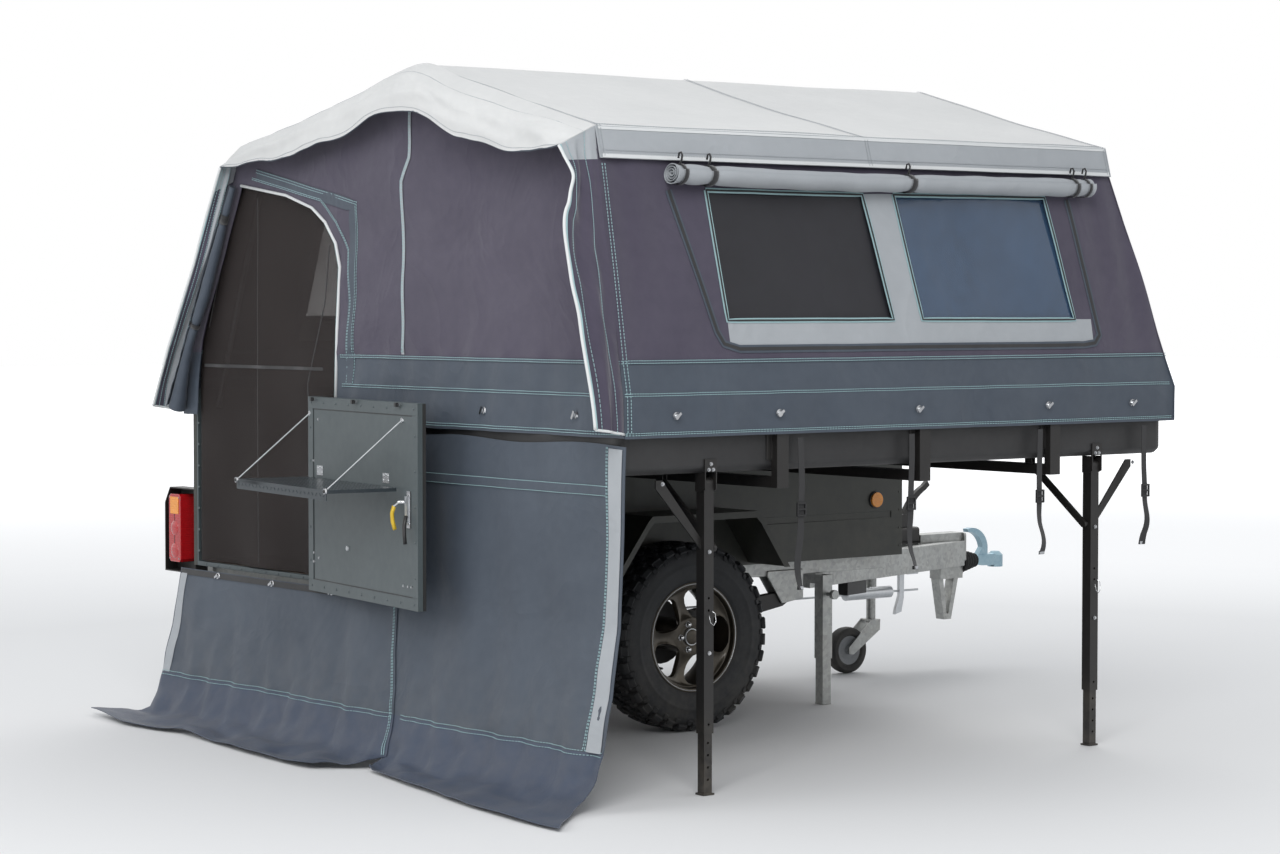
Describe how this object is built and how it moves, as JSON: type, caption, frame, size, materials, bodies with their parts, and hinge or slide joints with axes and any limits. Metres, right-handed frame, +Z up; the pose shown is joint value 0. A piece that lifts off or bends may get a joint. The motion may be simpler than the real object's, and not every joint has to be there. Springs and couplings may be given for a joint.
{
  "type": "folding camper trailer",
  "caption": "Single-axle box trailer whose lid folds out to a bed tray on prop legs under a gabled tent with hoops, windows, rear doorway and hinged door.",
  "frame": {"origin": "on the ground, under the middle of the opened trailer's bounding box", "axes": "+X forward to the coupling, +Y to the trailer's left, +Z up"},
  "size_m": [4.1646, 3.352, 2.406],
  "materials": {
    "box_paint": "satin",
    "door_paint": "satin",
    "black_paint": "satin",
    "zinc_steel": "satin",
    "galvanised": "matte",
    "alloy": "satin",
    "tread_rubber": "matte",
    "soft_rubber": "matte",
    "roof_canvas": "matte",
    "wall_canvas": "matte",
    "slate_canvas": "matte",
    "insect_mesh": "matte",
    "window_film": "gloss",
    "plywood": "satin",
    "webbing": "matte",
    "bedding": "matte",
    "lamp_red": "gloss",
    "lamp_amber": "gloss",
    "black_plastic": "matte"
  },
  "bodies": {
    "box": {"floor_panel": "plywood", "side_panels": "box_paint", "front_panel": "box_paint", "rear_frame": "door_paint", "chassis_frame": "galvanised", "axle_beam_arms": "galvanised", "springs": "black_paint", "fenders": "box_paint", "drawbar": "galvanised", "overrun_housing": "zinc_steel", "drawbar_cover": "black_plastic", "bellows": "soft_rubber", "coupling_head": "zinc_steel", "handbrake": "black_plastic", "brake_linkage": "zinc_steel", "jockey_clamp": "zinc_steel", "steady_sleeves": "galvanised", "tail_brackets": "black_paint", "tail_lenses": "lamp_red", "marker_lamps": "lamp_amber", "lid_hinges": "black_paint", "door_hinges": "door_paint", "hoop_brackets": "zinc_steel", "tent_roof": "roof_canvas", "side_walls": "wall_canvas", "window_films": "window_film", "gable_rear": "wall_canvas", "gable_front": "wall_canvas", "rear_hood": "roof_canvas", "mesh_door": "insect_mesh", "door_roll": "roof_canvas", "blind_roll": "roof_canvas", "rear_curtain": "slate_canvas"},
    "wheel_right": {"tyre_right": "tread_rubber", "rim_right": "alloy"},
    "wheel_left": {"tyre_left": "tread_rubber", "rim_left": "alloy"},
    "jockey_swivel": {"jockey_fork": "zinc_steel"},
    "jockey_roller": {"jockey_wheel": "soft_rubber"},
    "steady_right": {"steady_leg_right": "zinc_steel"},
    "steady_left": {"steady_leg_left": "zinc_steel"},
    "lid": {"lid_tray": "black_paint", "roof_bars": "black_paint", "leg_brackets": "zinc_steel", "tray_brackets": "zinc_steel", "lid_straps": "webbing", "mattress": "bedding"},
    "ridge_frame": {"hoop_ridge": "zinc_steel"},
    "left_frame": {"hoop_left": "zinc_steel"},
    "right_frame": {"hoop_right": "zinc_steel"},
    "leg_rear": {"prop_leg_rear": "black_paint"},
    "stay_rear": {"leg_stay_rear": "zinc_steel"},
    "leg_front": {"prop_leg_front": "black_paint"},
    "stay_front": {"leg_stay_front": "zinc_steel"},
    "door": {"rear_door": "door_paint", "door_fittings": "black_paint", "shelf_cables": "black_plastic"},
    "shelf": {"door_shelf": "black_paint"}
  },
  "joints": [
    {"name": "wheel_right_spin", "type": "hinge", "parent": "box", "child": "wheel_right", "pos_m": [-0.41, -0.149, 0.352], "axis": [0, 1, 0], "continuous": true},
    {"name": "wheel_left_spin", "type": "hinge", "parent": "box", "child": "wheel_left", "pos_m": [-0.41, 1.429, 0.352], "axis": [0, 1, 0], "continuous": true},
    {"name": "jockey_swivel_turn", "type": "hinge", "parent": "box", "child": "jockey_swivel", "pos_m": [1.37, 0.74, 0.33], "axis": [0, 0, 1], "continuous": true},
    {"name": "jockey_wheel_spin", "type": "hinge", "parent": "jockey_swivel", "child": "jockey_roller", "pos_m": [1.228, 0.74, 0.1], "axis": [0, 1, 0], "continuous": true},
    {"name": "steady_right_slide", "type": "slide", "parent": "box", "child": "steady_right", "axis": [0, 0, 1], "range_m": [0, 0.17]},
    {"name": "steady_left_slide", "type": "slide", "parent": "box", "child": "steady_left", "axis": [0, 0, 1], "range_m": [0, 0.17]},
    {"name": "lid_fold", "type": "hinge", "parent": "box", "child": "lid", "pos_m": [-0.4025, -0.05, 1.27], "axis": [-1, 0, 0], "range_deg": [0, 180], "deforming": ["tent_roof", "side_walls", "window_films", "gable_rear", "gable_front", "rear_hood", "mesh_door", "door_roll", "blind_roll", "rear_curtain"]},
    {"name": "ridge_hoop_fold", "type": "hinge", "parent": "box", "child": "ridge_frame", "pos_m": [-0.41, 0.03, 1.24], "axis": [-1, 0, 0], "range_deg": [0, 107.16]},
    {"name": "left_hoop_fold", "type": "hinge", "parent": "box", "child": "left_frame", "pos_m": [-0.41, 1.24, 1.2], "axis": [1, 0, 0], "range_deg": [0, 68.55]},
    {"name": "right_hoop_fold", "type": "hinge", "parent": "lid", "child": "right_frame", "pos_m": [-0.41, -1.32, 1.235], "axis": [-1, 0, 0], "range_deg": [0, 86.64]},
    {"name": "prop_leg_rear_fold", "type": "hinge", "parent": "lid", "child": "leg_rear", "pos_m": [-1.291, -1.38, 1.01], "axis": [1, 0, 0], "range_deg": [0, 90]},
    {"name": "leg_stay_rear_fold", "type": "hinge", "parent": "lid", "child": "stay_rear", "pos_m": [-1.256, -1.11, 1.01], "axis": [1, 0, 0], "range_deg": [0, 142.2]},
    {"name": "prop_leg_front_fold", "type": "hinge", "parent": "lid", "child": "leg_front", "pos_m": [0.499, -1.38, 1.01], "axis": [1, 0, 0], "range_deg": [0, 90]},
    {"name": "leg_stay_front_fold", "type": "hinge", "parent": "lid", "child": "stay_front", "pos_m": [0.464, -1.11, 1.01], "axis": [1, 0, 0], "range_deg": [0, 142.2]},
    {"name": "rear_door_swing", "type": "hinge", "parent": "box", "child": "door", "pos_m": [-1.705, 0.352, 0.91], "axis": [0, 0, -1], "range_deg": [0, 172]},
    {"name": "door_shelf_fold", "type": "hinge", "parent": "door", "child": "shelf", "pos_m": [-1.73075, 0.35562, 0.965], "axis": [0.1392, 0.9903, 0], "range_deg": [0, 90], "deforming": ["shelf_cables"]}
  ],
  "couplings": [
    {"joint": "ridge_hoop_fold", "follows": "lid_fold", "ratio": 0.5953},
    {"joint": "left_hoop_fold", "follows": "lid_fold", "ratio": 0.3808},
    {"joint": "right_hoop_fold", "follows": "lid_fold", "ratio": 0.4813},
    {"joint": "leg_stay_rear_fold", "follows": "prop_leg_rear_fold", "ratio": 1.5792},
    {"joint": "leg_stay_front_fold", "follows": "prop_leg_front_fold", "ratio": 1.5792}
  ]
}
